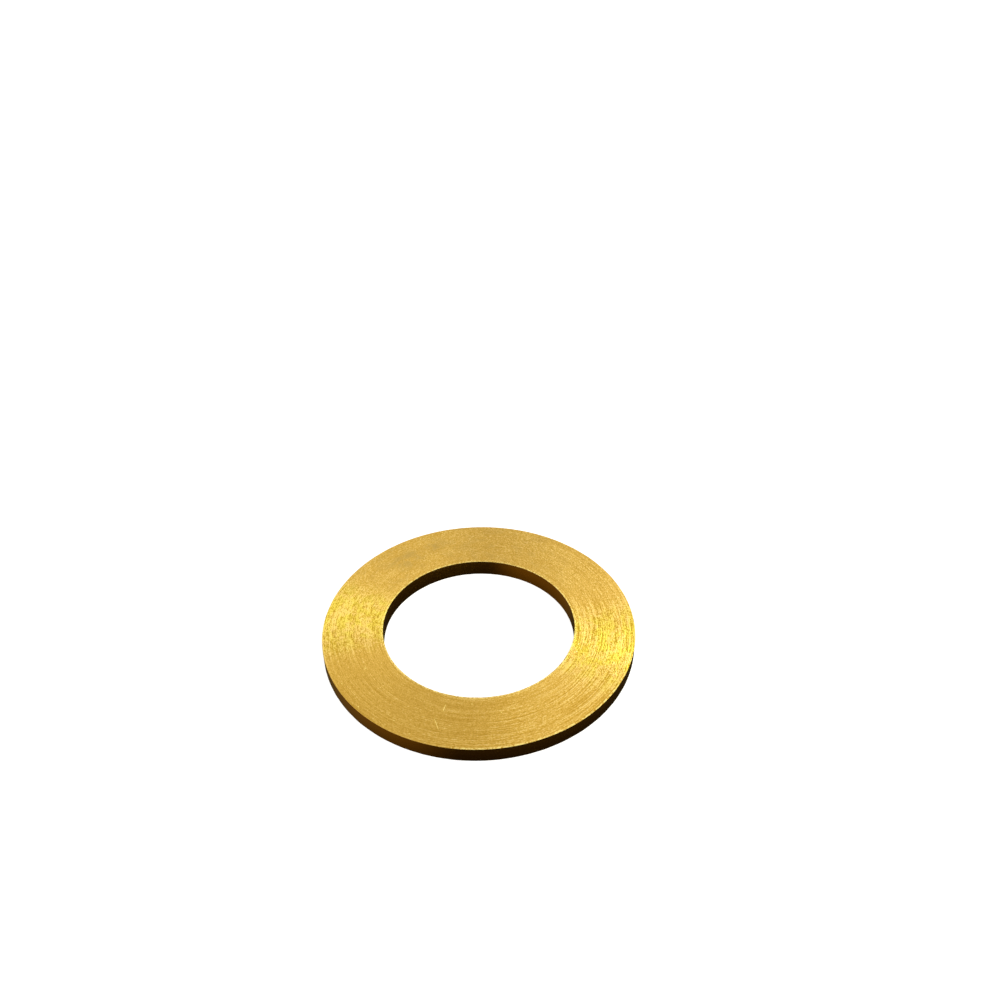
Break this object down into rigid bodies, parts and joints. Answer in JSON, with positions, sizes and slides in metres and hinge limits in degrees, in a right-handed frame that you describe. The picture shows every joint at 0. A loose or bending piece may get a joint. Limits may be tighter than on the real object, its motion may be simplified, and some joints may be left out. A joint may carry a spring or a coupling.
{
  "type": "flat washer",
  "caption": "Plain flat washer: a thin, square-edged brass ring that spreads the load of a bolt, nut or stud over the surface under it.",
  "frame": {"origin": "on the axis of the hole, in the plane of the lower face that the washer lies on", "axes": "+Z along the axis of the hole, up through the thickness; +X and +Y lie in the lower face and are interchangeable, because the ring is round"},
  "size_m": [0.04, 0.04, 0.002],
  "materials": {
    "brass": "bright turned brass, faced on both sides with fine concentric tool marks, unplated"
  },
  "bodies": {
    "root": {"washer_ring": "brass"}
  },
  "joints": []
}
